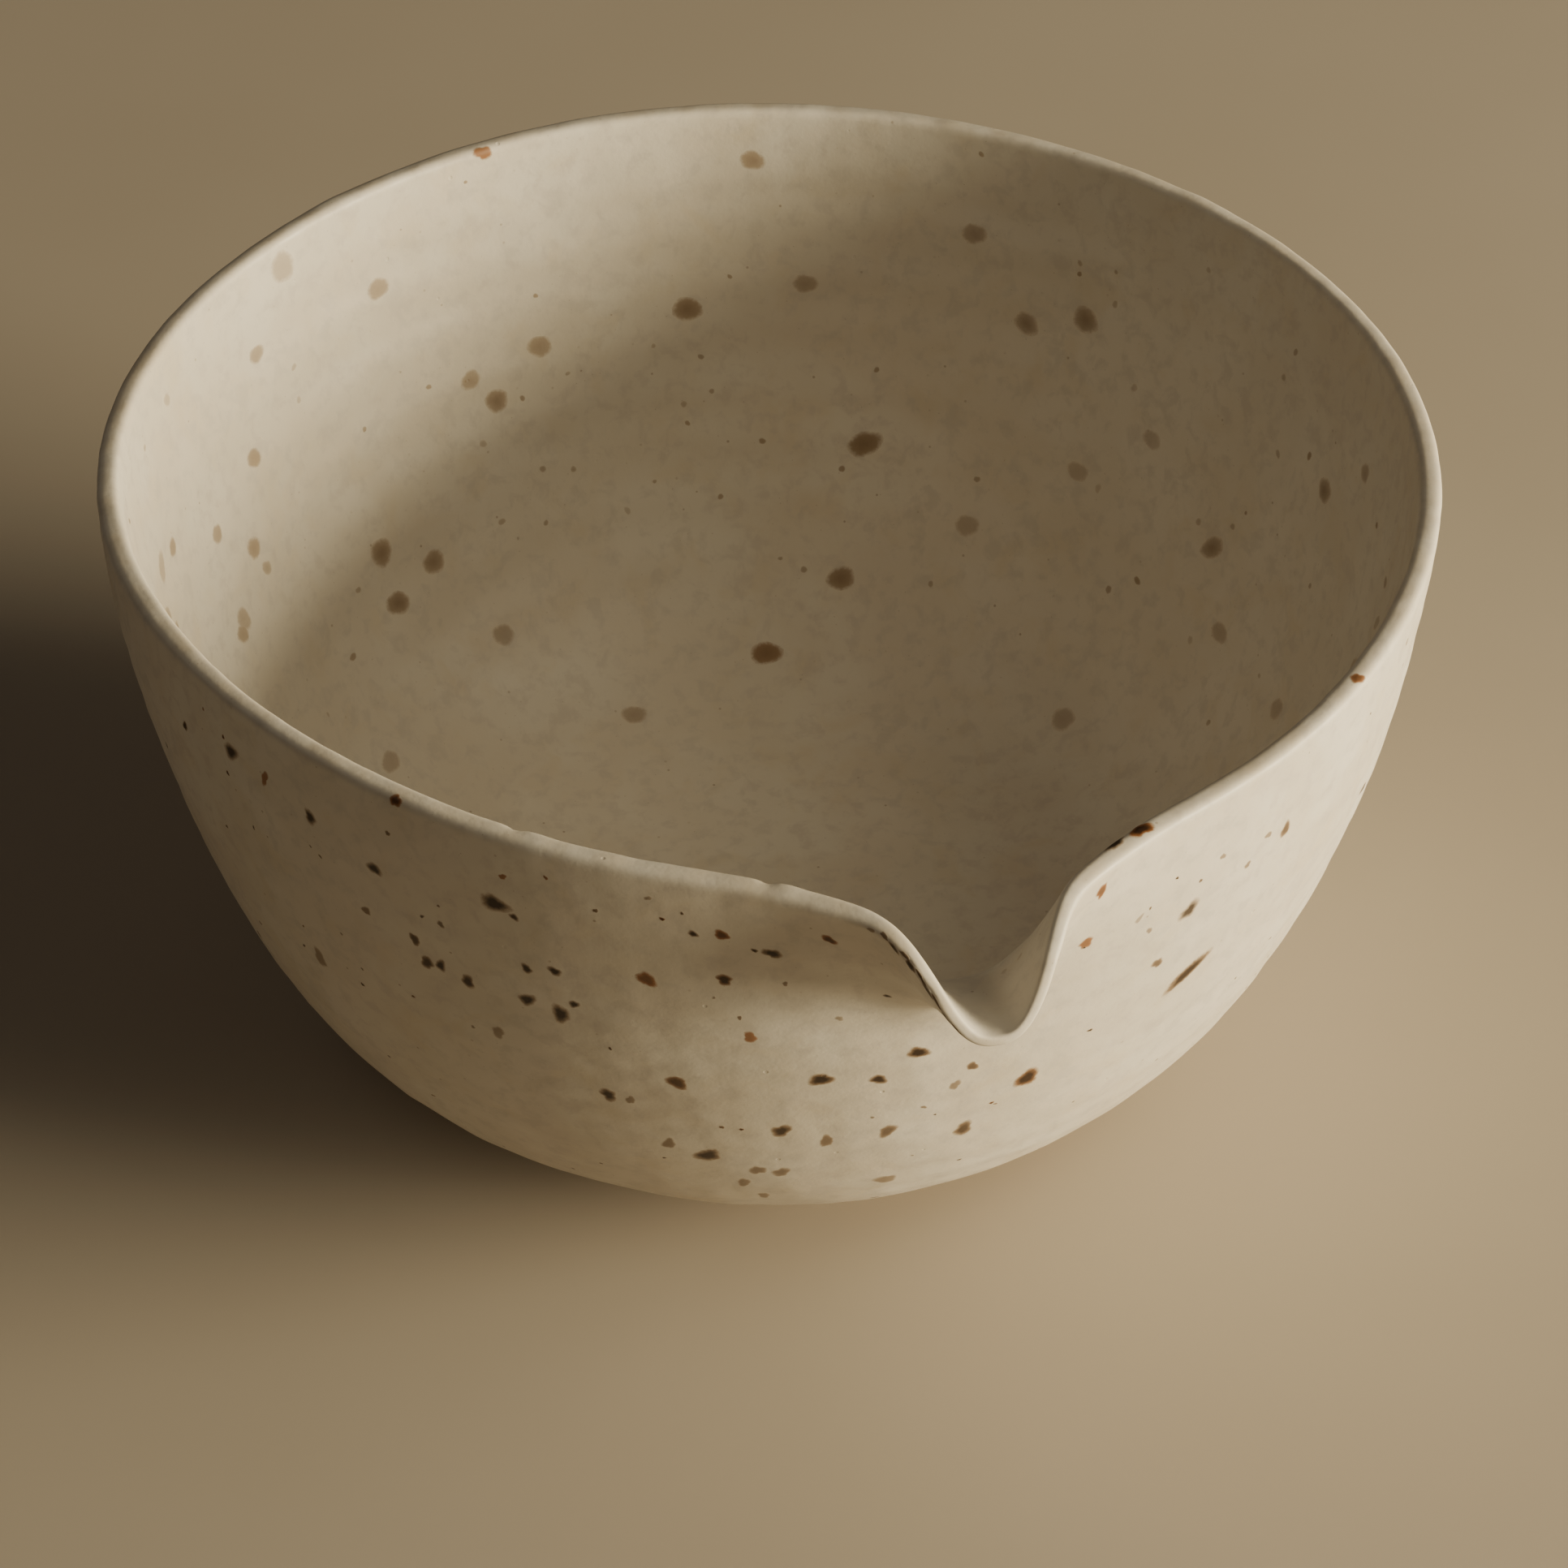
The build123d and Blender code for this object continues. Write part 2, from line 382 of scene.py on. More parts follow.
def ring_coat(name, p, normals, s, material):
    """The outer coat: open at both ends, with its lower edge a rounded roll."""
    rows, columns = s.shape
    keep = sorted({0, *(rows - 1 - i for i in range(0, rows, HIDDEN_ROW_STEP))})
    downward = unit(p[0] - p[2])
    roll = p[0] - normals[0] * (GLAZE * 0.55) + downward * 0.16
    loop = np.concatenate([roll[None], p, coat_back(p, normals, keep)[::-1]])
    loop_normals = np.concatenate([downward[None], normals, -normals[keep][::-1]])
    faces = band_faces(len(loop), columns, closed_rows=True)
    obj = new_object(name, loop.reshape(-1, 3), faces, material, loop_normals.reshape(-1, 3))
    above_line = np.r_[np.zeros(columns), (s - s[0]).reshape(-1)]
    paint_coat(obj, s, columns, 1 - np.clip(above_line / 1.6, 0, 1))
    return obj


def bowl_coat(name, p, normals, s, material):
    """The liner: from the crest to the middle of the floor, and back behind it to the crest."""
    rows, columns = s.shape
    keep = sorted({rows - 1, *range(0, rows, HIDDEN_ROW_STEP)})
    back = coat_back(p, normals, keep)
    centres = np.vstack([p[-1].mean(0), back[-1].mean(0)])
    verts = np.vstack([p.reshape(-1, 3), back[::-1].reshape(-1, 3), centres])
    front_normals = normals.reshape(-1, 3)
    back_normals = -normals[keep][::-1].reshape(-1, 3)
    norms = np.vstack([front_normals, back_normals, [0, 0, 1], [0, 0, -1]])

    inmost = (rows - 1) * columns
    first_back = rows * columns
    last = (rows + len(keep) - 1) * columns
    top = len(verts) - 2
    turn = [(j, (j + 1) % columns) for j in range(columns)]
    faces = band_faces(rows, columns)
    faces += band_faces(len(keep), columns, first=first_back)
    faces += [[last + j, last + j2, j2, j] for j, j2 in turn]
    faces += [[inmost + j, inmost + j2, top] for j, j2 in turn]
    faces += [[first_back + j2, first_back + j, top + 1] for j, j2 in turn]
    obj = new_object(name, verts, faces, material, norms)
    paint_coat(obj, s, 0, [])
    return obj


def foot_profile():
    """Radius and height from the middle of the underside out over the foot ring and up the bare band."""
    under_r = np.linspace(0.4, FOOT_INNER_R - 1.2, 46)
    share = under_r / (FOOT_INNER_R - 1.2)
    under_z = UNDERSIDE_Z + UNDERSIDE_DOME * (1 - share**2.2)
    # rings left by the turning tool
    under_z = under_z + 0.09 * np.sin(under_r * 2 * math.pi / 2.3) * np.clip(under_r / 5, 0, 1)
    corner = [
        (FOOT_INNER_R - 0.55, UNDERSIDE_Z - 0.12),
        (FOOT_INNER_R - 0.15, UNDERSIDE_Z - 0.45),
        (FOOT_INNER_R, UNDERSIDE_Z - 0.9),
        (FOOT_INNER_R + 0.15, FOOT_BEVEL),
        (FOOT_INNER_R + 0.32, 0.3),
        (FOOT_INNER_R + 0.6, 0.08),
        (FOOT_INNER_R + 1.0, 0.0),
        (FOOT_INNER_R + 2.5, 0.0),
        (FOOT_OUTER_R - 1.0, 0.0),
        (FOOT_OUTER_R - 0.6, 0.08),
        (FOOT_OUTER_R - 0.28, 0.28),
        (FOOT_OUTER_R, FOOT_BEVEL),
        (FOOT_OUTER_R + 0.12, 1.4),
        (FOOT_OUTER_R + 0.25, 2.1),
        (FOOT_OUTER_R + 0.42, 2.6),
        (FOOT_OUTER_R + 0.8, 3.1),
        (FOOT_OUTER_R + 1.5, 3.5),
        (FOOT_OUTER_R + 2.3, 3.85),
    ]
    return np.vstack([np.stack([under_r, under_z], -1), corner])


def build_clay(material):
    """The fired body: bare foot in full detail, the rest under the glaze."""
    profile = foot_profile()
    deg = DEG[::3]
    angle = np.radians(deg)
    r = profile[:, 0][:, None]
    foot = np.stack([r * np.sin(angle), -r * np.cos(angle), profile[:, 1][:, None] + 0 * angle], -1)
    chatter = 0.035 * soft_noise(foot * np.array([1, 1, 3.0]), 6.0, 11)
    chatter[profile[:, 1] < 0.2] = 0
    foot[..., 2] += chatter
    join_s = s_outside(BARE_JOIN_Z)
    s_up = np.r_[np.linspace(join_s, join_s + 9, 16), np.linspace(join_s + 9, 0, 34)[1:]]
    s_down = np.linspace(0, CENTRE_S - 1.5, 44)[1:]
    s, turn = np.meshgrid(np.r_[s_up, s_down], deg, indexing="ij")
    body = skin(s, turn, GLAZE)
    body = body + skin_normal(s, turn) * relief(s, turn, body)[..., None]
    p = np.concatenate([foot, body])
    rows, columns = p.shape[:2]
    faces = band_faces(rows, columns)
    verts = p.reshape(-1, 3)
    bottom, top = len(verts), len(verts) + 1
    verts = np.vstack([verts, p[0].mean(0), p[-1].mean(0)])
    faces += [[(j + 1) % columns, j, bottom] for j in range(columns)]
    last = (rows - 1) * columns
    faces += [[last + j, last + (j + 1) % columns, top] for j in range(columns)]
    return new_object("stoneware_body", verts, faces, material)


# ---------------------------------------------------------------- iron specks

# each: angle from the spout, height on the wall before pulling, length, width, lean, darkness, rust
OUTSIDE_SPECKS = [
    (-37.6, 67.0, 2.5, 1.4, -28, 1.0, 0.3),
    (-36.0, 65.8, 0.8, 0.6, 0, 0.8, 0.4),
    (-66.0, 69.0, 1.8, 1.5, 10, 1.0, 0.2),
    (-61.5, 68.8, 1.5, 0.7, 70, 0.35, 1.0),
    (-56.0, 67.6, 1.3, 1.1, 0, 0.95, 0.3),
    (-49.2, 65.3, 1.3, 1.0, -30, 0.95, 0.3),
    (-36.7, 71.0, 0.6, 0.5, 0, 0.4, 1.0),
    (-43.0, 61.3, 0.6, 0.5, 0, 0.6, 0.5),
    (-45.9, 57.5, 1.0, 0.8, 0, 0.7, 0.8),
    (-50.8, 58.5, 0.8, 0.7, 0, 0.4, 0.8),
    (-43.6, 55.0, 1.0, 0.8, 0, 0.95, 0.4),
    (-45.0, 54.6, 1.2, 0.9, 20, 0.75, 0.7),
    (-41.1, 54.0, 1.2, 0.9, 0, 0.8, 0.6),
    (-35.3, 58.8, 0.9, 0.7, 0, 0.85, 0.5),
    (-32.8, 59.5, 1.0, 0.7, 0, 0.95, 0.4),
    (-35.6, 54.0, 1.3, 1.0, 0, 0.95, 0.4),
    (-31.4, 55.0, 0.8, 0.6, 20, 0.9, 0.4),
    (-32.7, 53.0, 1.6, 1.2, -15, 0.95, 0.4),
    (-59.0, 45.0, 1.4, 1.1, 0, 0.35, 0.6),
    (-25.0, 61.0, 1.4, 1.2, 0, 0.6, 1.0),
    (-18.6, 62.5, 1.3, 0.9, -10, 0.85, 0.9),
    (-21.0, 68.8, 0.8, 0.6, 0, 0.9, 0.4),
    (-18.7, 69.2, 1.3, 0.8, 0, 0.7, 1.0),
    (-16.1, 67.6, 0.5, 0.4, 0, 0.9, 0.5),
    (-14.7, 67.5, 1.4, 0.9, 5, 0.95, 0.6),
    (-10.3, 71.3, 1.2, 0.8, -35, 0.75, 1.0),
    (-16.6, 53.5, 1.1, 0.8, 0, 0.35, 1.0),
    (-29.4, 40.3, 1.3, 0.9, -10, 0.8, 0.6),
    (-27.4, 40.0, 0.7, 0.6, 0, 0.35, 0.6),
    (-23.0, 44.5, 1.4, 1.0, 10, 0.7, 0.9),
    (-10.6, 46.0, 1.7, 1.1, 0, 0.95, 0.7),
    (-5.6, 45.3, 1.3, 0.8, 5, 0.85, 0.6),
    (-13.9, 36.2, 1.4, 1.1, 0, 0.8, 0.7),
    (-9.7, 33.6, 1.1, 0.9, 10, 0.5, 0.7),
    (-4.1, 34.7, 1.3, 1.1, 0, 0.6, 0.7),
    (-24.4, 32.0, 1.1, 0.9, 0, 0.4, 0.7),
    (-20.8, 30.0, 1.8, 1.4, -10, 0.8, 0.6),
    (-16.1, 26.8, 1.2, 1.0, 0, 0.5, 0.6),
    (-13.8, 26.3, 1.3, 1.0, 0, 0.5, 0.6),
    (-17.5, 23.0, 1.1, 0.9, 0, 0.45, 0.6),
    (-15.5, 18.5, 1.0, 0.8, 0, 0.4, 0.6),
    (-2.4, 49.5, 1.6, 0.9, 3, 0.95, 0.7),
    (2.8, 45.0, 1.0, 0.6, 15, 0.6, 0.8),
    (1.5, 42.0, 0.9, 0.7, 0, 0.4, 0.6),
    (8.6, 39.8, 2.3, 1.1, 22, 0.85, 0.9),
    (3.5, 32.0, 1.6, 1.1, 8, 0.7, 0.7),
    (-3.0, 22.0, 1.6, 1.0, 12, 0.4, 0.6),
    (10.4, 72.4, 2.0, 0.9, 85, 0.6, 1.0),
    (10.7, 63.0, 1.4, 1.0, 25, 0.5, 1.0),
    (21.7, 60.0, 2.0, 1.3, 30, 0.8, 0.2),
    (19.6, 53.0, 1.0, 0.8, 0, 0.6, 0.7),
    (17.5, 60.0, 0.6, 0.5, 0, 0.5, 0.4),
    (16.0, 63.0, 1.0, 0.5, 75, 0.3, 0.4),
    (24.0, 47.8, 4.4, 1.2, 42, 0.85, 0.6),
    (30.0, 64.8, 0.8, 0.6, 0, 0.4, 0.6),
    (32.5, 63.5, 1.7, 0.9, 70, 0.6, 0.8),
    (24.5, 66.0, 0.6, 0.5, 0, 0.4, 0.6),
    (28.0, 62.0, 0.7, 0.5, 0, 0.45, 0.6),
    (-5.5, 62.5, 0.6, 0.5, 0, 0.85, 0.3),
    (-9.3, 57.0, 0.6, 0.5, 0, 0.5, 0.3),
    (-39.0, 47.0, 1.1, 0.8, 0, 0.25, 0.6),
]
# on the rim: distance from the crest in place of the height
RIM_SPECKS_AND_LIP_SHADE = [
    (-36.3, 1.3, 0.9, 0.5, 0, 0.3, 1.0),
    (-15.5, 1.3, 1.0, 0.5, 0, 0.3, 1.0),
    # these along the left lip's outer edge are partly iron specks and thin glaze, partly painted shade on
    # the side of the lip that faces away from the light
    (-7.4, -1.5, 0.7, 0.5, -20, 0.35, 0.6),
    (-6.6, -1.1, 0.8, 0.5, -40, 0.45, 0.8),
    (-5.9, -1.7, 1.1, 0.6, -60, 0.75, 0.6),
    (-5.4, -1.0, 0.8, 0.5, 40, 0.5, 0.8),
    (-5.0, -1.6, 1.2, 0.6, -70, 0.8, 0.7),
    (-4.5, -1.1, 0.9, 0.6, -50, 0.7, 0.8),
    (-4.0, -1.7, 1.1, 0.6, -60, 0.7, 0.5),
    (-3.6, -1.2, 0.8, 0.5, -30, 0.55, 0.8),
    (-3.0, -1.6, 0.8, 0.5, -50, 0.6, 0.5),
    (-2.4, -1.2, 0.7, 0.5, -20, 0.35, 0.7),
    (-46.5, -1.3, 1.3, 1.0, 60, 0.7, 1.0),
    (12.8, 0.9, 2.2, 1.1, 8, 1.0, 0.3),
    (15.3, 0.4, 2.1, 1.5, 5, 0.9, 1.0),
    (42.0, -0.4, 1.5, 1.1, 0, 0.6, 1.0),
    (-166.0, 1.5, 1.8, 1.6, 0, 0.4, 1.0),
]
INSIDE_SPECKS = [
    (174.0, 49.5, 2.8, 2.5, 0, 1.0, 0.5),
    (165.6, 7.8, 3.0, 2.4, 0, 1.0, 0.9),
    (154.0, 32.5, 3.6, 2.3, -35, 1.0, 0.7),
    (155.4, 16.0, 2.7, 2.4, 0, 0.9, 0.6),
    (-144.0, 31.5, 2.7, 2.6, 0, 0.95, 0.4),
    (-150.5, 27.0, 2.6, 2.3, 20, 0.85, 0.4),
    (-143.5, 25.0, 2.8, 2.3, 0, 0.9, 0.5),
    (-156.0, 15.5, 2.4, 2.1, 0, 0.5, 0.5),
    (-163.6, 42.8, 2.6, 2.2, 0, 0.8, 0.5),
    (-169.5, 48.0, 2.4, 2.2, 0, 0.6, 0.5),
    (-152.6, 62.7, 2.4, 2.1, 0, 0.5, 0.6),
    (131.0, 55.0, 2.8, 2.5, 0, 0.95, 0.3),
    (137.5, 52.0, 2.6, 2.3, 0, 0.8, 0.3),
    (94.0, 54.5, 2.5, 2.2, -20, 0.9, 0.3),
    (107.6, 36.5, 3.4, 1.9, -50, 0.9, 0.3),
    (101.0, 29.0, 2.4, 2.0, 0, 0.5, 0.3),
    (140.0, 25.0, 2.5, 2.1, 0, 0.45, 0.4),
    (167.0, 69.0, 2.4, 2.0, 0, 0.6, 0.6),
    (-161.0, 46.5, 2.1, 1.9, 0, 0.55, 0.5),
    (161.5, 52.5, 2.3, 2.0, 0, 0.5, 0.5),
    (144.3, 62.0, 2.4, 2.1, 0, 0.6, 0.4),
    (115.6, 9.5, 2.6, 2.3, 0, 0.5, 0.4),
    (-170.0, 4.6, 2.4, 2.2, 0, 0.45, 0.5),
    (-126.0, 44.0, 2.3, 2.0, 0, 0.55, 0.6),
    (-121.0, 50.0, 2.0, 1.8, 0, 0.5, 0.6),
    (-118.0, 38.0, 2.1, 1.8, 0, 0.5, 0.6),
    (-131.0, 53.0, 2.2, 1.8, 0, 0.45, 0.7),
    (-112.0, 56.0, 2.0, 1.6, 0, 0.45, 0.7),
    (-108.0, 34.0, 2.2, 1.9, 0, 0.5, 0.7),
    (-136.0, 64.0, 2.1, 1.8, 0, 0.5, 0.6),
    (-99.0, 42.0, 2.1, 1.8, 0, 0.5, 0.5),
    (-104.0, 24.0, 2.3, 2.0, 0, 0.5, 0.5),
    (-117.0, 17.0, 2.4, 2.0, 0, 0.45, 0.4),
    (-128.0, 12.0, 2.6, 2.1, 0, 0.4, 0.4),
    (-90.0, 9.0, 2.6, 2.2, 0, 0.45, 0.4),
    (128.0, 36.0, 2.3, 2.0, 0, 0.4, 0.3),
    (120.0, 44.0, 2.2, 1.9, 0, 0.35, 0.3),
    (85.0, 30.0, 2.3, 2.0, 0, 0.45, 0.3),
    (88.0, 62.0, 2.0, 1.7, 0, 0.6, 0.3),
]
RANDOM_OUTSIDE = 190
RANDOM_INSIDE = 150
# rings of points from a speck's middle outward, as shares of its half size; past 1 is its halo
SPECK_RINGS = np.array([0.0, 0.3, 0.52, 0.7, 0.86, 1.02, 1.25, 1.5, 1.6])
SPECK_SIDES = 22
SPECK_DOME = 0.03  # how far its middle stands proud
SPECK_SINK = 0.03  # how far its edge goes in
SPECK_ROOT = 0.14  # how far its hidden back goes in


def drawn_out(specks):
    """Specks grow taller down the wall, where it leans under the bowl."""
    grown = []
    for deg, height, length, width, lean, dark, rust in specks:
        taller = min(1.2 + 0.03 * (70 - height), 2.1)
        grown.append((deg, height, 1.12 * length, taller * width, lean, dark, rust))
    return grown


def chance_specks(count, inside, seed):
    """More specks over the parts that the listed ones don't cover."""
    rng = np.random.default_rng(seed)
    specks = []
    while len(specks) < count:
        deg = rng.uniform(-180, 180)
        height = 12 + 61 * rng.uniform() ** 0.8
        among_placed = -72 < deg < 48 and height > 14
        size = 0.35 + 0.28 * rng.exponential()
        if inside or among_placed:
            size = 0.26 + 0.2 * rng.uniform()
            if inside and rng.uniform() < 0.5 and (abs(deg) < 80 or -145 < deg < -60):
                size = 0.7 + 0.45 * rng.exponential()
        size = min(size, 1.9)
        dark = rng.uniform(0.35, 1.0)
        rust = rng.uniform(0.2, 1.0)
        if inside:
            size *= 1.5
            dark *= 0.6
            rust *= 0.8
        specks.append((deg, height, size * rng.uniform(1.0, 1.5), size, rng.uniform(-90, 90), dark, rust))
    return specks


def speck_lens(s0, deg0, length, width, lean, ragged, rng):
    """One speck: a closed lens that follows the surface and barely stands out of it."""
    turn = np.arange(SPECK_SIDES) * 2 * math.pi / SPECK_SIDES
    wobble = 1.0
    for count, share in ((2, 0.17), (3, 0.11), (5, 0.07)):
        wobble = wobble + ragged * share * np.sin(count * turn + rng.uniform(0, 6.3))
    lean = math.radians(lean)
    x = np.cos(turn) * length / 2 * wobble
    y = np.sin(turn) * width / 2 * wobble
    across = x * math.cos(lean) - y * math.sin(lean)
    climb = x * math.sin(lean) + y * math.cos(lean)
    radius = max(float(np.hypot(*skin(s0, deg0)[:2])), 1.0)
    way = 1.0 if s0 < 0 else -1.0
    shares = SPECK_RINGS[1:, None]
    deg = deg0 + np.degrees(across / radius) * shares
    s = s0 + way * climb * shares
    end = SPECK_RINGS[-1]
    rise = SPECK_DOME * (1 - (SPECK_RINGS / end) ** 2) - SPECK_SINK * (SPECK_RINGS / end) ** 12
    rings = surface(s, deg, rise[1:, None] + 0 * s)
    top = surface(s0, deg0, rise[0])
    under = surface(s0, deg0, -SPECK_ROOT)
    verts = np.vstack([top, rings.reshape(-1, 3), under])

    up = skin_normal(s, deg)
    away = unit(rings - top)
    slope = 2 * SPECK_DOME * shares / end**2 / (math.sqrt(length * width) / 2)
    top_normal = skin_normal(np.array(s0), np.array(deg0))
    normals = np.vstack([top_normal, unit(up + away * slope[..., None]).reshape(-1, 3), -top_normal])

    count = len(SPECK_RINGS) - 1
    faces = [[0, 1 + j, 1 + (j + 1) % SPECK_SIDES] for j in range(SPECK_SIDES)]
    faces += band_faces(count, SPECK_SIDES, first=1, outward=True)
    last = 1 + (count - 1) * SPECK_SIDES
    bottom = len(verts) - 1
    faces += [[last + (j + 1) % SPECK_SIDES, last + j, bottom] for j in range(SPECK_SIDES)]
    if s0 >= 0:
        faces = [face[::-1] for face in faces]
    reach = np.r_[0.0, np.repeat(SPECK_RINGS[1:], SPECK_SIDES), end]
    return verts, faces, normals, reach


def build_specks(name, specks, s_of, material, ragged, seed):
    """All the specks of one coat as one piece."""
    rng = np.random.default_rng(seed)
    all_verts, all_faces, normals, reach, dark, rust = [], [], [], [], [], []
    start = 0
    for deg, place, length, width, lean, darkness, redness in specks:
        verts, faces, directions, shares = speck_lens(
            float(s_of(place)), deg, length, width, lean, ragged, rng
        )
        all_verts.append(verts)
        normals.append(directions)
        all_faces += [[k + start for k in face] for face in faces]
        reach.append(shares)
        dark.append(np.full(len(verts), darkness))
        rust.append(np.full(len(verts), redness))
        start += len(verts)
    obj = new_object(name, np.vstack(all_verts), all_faces, material, np.vstack(normals))
    paint(obj, "reach", np.concatenate(reach))
    paint(obj, "dark", np.concatenate(dark))
    paint(obj, "rust", np.concatenate(rust))
    return obj


# ---------------------------------------------------------------- materials


class Nodes:
    """A short way to write node trees."""

    def __init__(self, name):
        self.material = bpy.data.materials.new(name)
        self.material.use_nodes = True
        self.tree = self.material.node_tree
        self.shader = self.tree.nodes["Principled BSDF"]
        self.place = self.add("ShaderNodeTexCoord").outputs["Object"]

    def add(self, kind, **settings):
        node = self.tree.nodes.new(kind)
        for key, value in settings.items():
            setattr(node, key, value)
        return node

    def join(self, source, target):
        self.tree.links.new(source, target)

    def noise(self, size_mm, detail=3.0, roughness=0.5, distortion=0.0, place=None):
        node = self.add("ShaderNodeTexNoise")
        node.inputs["Scale"].default_value = 1000.0 / size_mm
        node.inputs["Detail"].default_value = detail
        node.inputs["Roughness"].default_value = roughness
        node.inputs["Distortion"].default_value = distortion
        self.join(place or self.place, node.inputs["Vector"])
        return node.outputs["Fac"]

    def ramp(self, value, low, high, to_low=0.0, to_high=1.0):
        node = self.add("ShaderNodeMapRange", interpolation_type="SMOOTHSTEP")
        node.inputs["From Min"].default_value = low
        node.inputs["From Max"].default_value = high
        node.inputs["To Min"].default_value = to_low
        node.inputs["To Max"].default_value = to_high
        self.join(value, node.inputs["Value"])
        return node.outputs["Result"]

    def sum(self, a, b, kind="ADD"):
        node = self.add("ShaderNodeMath", operation=kind)
        for socket, value in zip(node.inputs, (a, b)):
            if isinstance(value, (int, float)):
                socket.default_value = value
            else:
                self.join(value, socket)
        return node.outputs[0]

    def times(self, a, b):
        return self.sum(a, b, "MULTIPLY")

    def blend(self, share, a, b):
        node = self.add("ShaderNodeMix", data_type="RGBA")
        self.join(share, node.inputs[0])
        for socket, value in ((node.inputs[6], a), (node.inputs[7], b)):
            if isinstance(value, tuple):
                socket.default_value = (*value, 1.0)
            else:
                self.join(value, socket)
        return node.outputs[2]

    def painted(self, name):
        return self.add("ShaderNodeAttribute", attribute_name=name).outputs["Fac"]

    def bump(self, height, distance_mm, strength=1.0, under=None):
        node = self.add("ShaderNodeBump")
        node.inputs["Strength"].default_value = strength
        node.inputs["Distance"].default_value = distance_mm * MM
        self.join(height, node.inputs["Height"])
        if under is not None:
            self.join(under, node.inputs["Normal"])
        return node.outputs["Normal"]


CREAM = (0.705, 0.642, 0.550)
CREAM_PALE = (0.745, 0.695, 0.615)
CREAM_GREY = (0.600, 0.548, 0.490)
CREAM_OCHRE = (0.660, 0.565, 0.425)
FRECKLE = (0.300, 0.205, 0.125)
EDGE_WARM = (0.620, 0.500, 0.350)


def freckles(n, cell_mm, size_mm, keep):
    """Share of a pin-prick freckle: one in some of the cells."""
    cells = n.add("ShaderNodeTexVoronoi", feature="F1")
    cells.inputs["Scale"].default_value = 1000.0 / cell_mm
    n.join(n.place, cells.inputs["Vector"])
    dot = n.ramp(cells.outputs["Distance"], size_mm / cell_mm * 0.5, size_mm / cell_mm, 1.0, 0.0)
    split = n.add("ShaderNodeSeparateColor")
    n.join(cells.outputs["Color"], split.inputs[0])
    chosen = n.ramp(split.outputs[0], 1 - keep, 1 - keep + 0.02)
    return n.times(dot, chosen), split.outputs[1]


def glaze_colour(n):
    """Mottled off-white with faint freckles."""
    clouds = n.noise(17.0, 3.0, 0.55, 0.4)
    ochre = n.noise(7.0, 3.0, 0.55, 0.6)
    mottle = n.noise(2.4, 4.0, 0.6, 0.3)
    colour = n.blend(n.ramp(clouds, 0.35, 0.68), CREAM, CREAM_PALE)
    colour = n.blend(n.times(n.ramp(ochre, 0.50, 0.74), 0.35), colour, CREAM_OCHRE)
    colour = n.blend(n.times(n.ramp(mottle, 0.46, 0.68), 0.55), colour, CREAM_GREY)
    dots, tone = freckles(n, 2.2, 0.22, 0.30)
    colour = n.blend(n.times(dots, n.ramp(tone, 0.0, 1.0, 0.15, 0.6)), colour, FRECKLE)
    dust, _ = freckles(n, 1.1, 0.10, 0.35)
    return n.blend(n.times(dust, 0.35), colour, FRECKLE)


def glaze_surface(n):
    """Satin gloss that varies, over orange-peel and tiny pits."""
    n.join(n.ramp(n.noise(3.5, 3.0), 0.3, 0.7, 0.40, 0.52), n.shader.inputs["Roughness"])
    peel = n.bump(n.noise(1.9, 3.0, 0.55), 0.070, 0.7)
    grain = n.bump(n.noise(0.45, 2.0, 0.6), 0.016, 0.6, peel)
    pits, _ = freckles(n, 3.1, 0.30, 0.16)
    n.join(n.bump(n.sum(1.0, pits, "SUBTRACT"), 0.06, 0.7, grain), n.shader.inputs["Normal"])
    n.shader.inputs["IOR"].default_value = 1.5
    n.shader.inputs["Specular IOR Level"].default_value = 0.42


def glaze_material(name):
    n = Nodes(name)
    colour = glaze_colour(n)
    edge = n.times(n.painted("edge"), n.ramp(n.noise(4.0, 3.0), 0.35, 0.75, 0.0, 0.35))
    colour = n.blend(edge, colour, EDGE_WARM)
    line = n.times(n.painted("line"), n.ramp(n.noise(2.0, 3.0), 0.25, 0.7, 0.35, 0.9))
    colour = n.blend(line, colour, EDGE_WARM)
    n.join(colour, n.shader.inputs["Base Color"])
    glaze_surface(n)
    return n.material


def speck_material(name, core_from, core_to, core_share, core_colour):
    """Iron burnt through the glaze: a dark core and a rust rim, fading into the glaze."""
    n = Nodes(name)
    colour = glaze_colour(n)
    ragged = n.sum(n.noise(0.5, 3.0, 0.6), 0.5, "SUBTRACT")
    reach = n.sum(n.painted("reach"), n.times(ragged, 0.5))
    dark = n.painted("dark")
    rust = n.painted("rust")
    halo = n.sum(n.times(dark, 0.40), n.times(rust, 0.45))
    colour = n.blend(n.times(n.ramp(reach, 0.85, 1.58, 1.0, 0.0), halo), colour, (0.41, 0.275, 0.145))
    ring = n.times(n.sum(n.times(rust, 0.75), n.times(dark, 0.25)), core_share)
    ring_colour = n.blend(n.ramp(rust, 0.84, 0.98), (0.165, 0.086, 0.038), (0.29, 0.105, 0.028))
    colour = n.blend(n.times(n.ramp(reach, 0.90, 1.38, 1.0, 0.0), ring), colour, ring_colour)
    burnt = n.ramp(dark, 0.35, 0.9, 0.10, core_share)
    core = n.times(n.ramp(reach, core_from, core_to, 1.0, 0.0), burnt)
    colour = n.blend(core, colour, core_colour)
    n.join(colour, n.shader.inputs["Base Color"])
    glaze_surface(n)
    return n.material


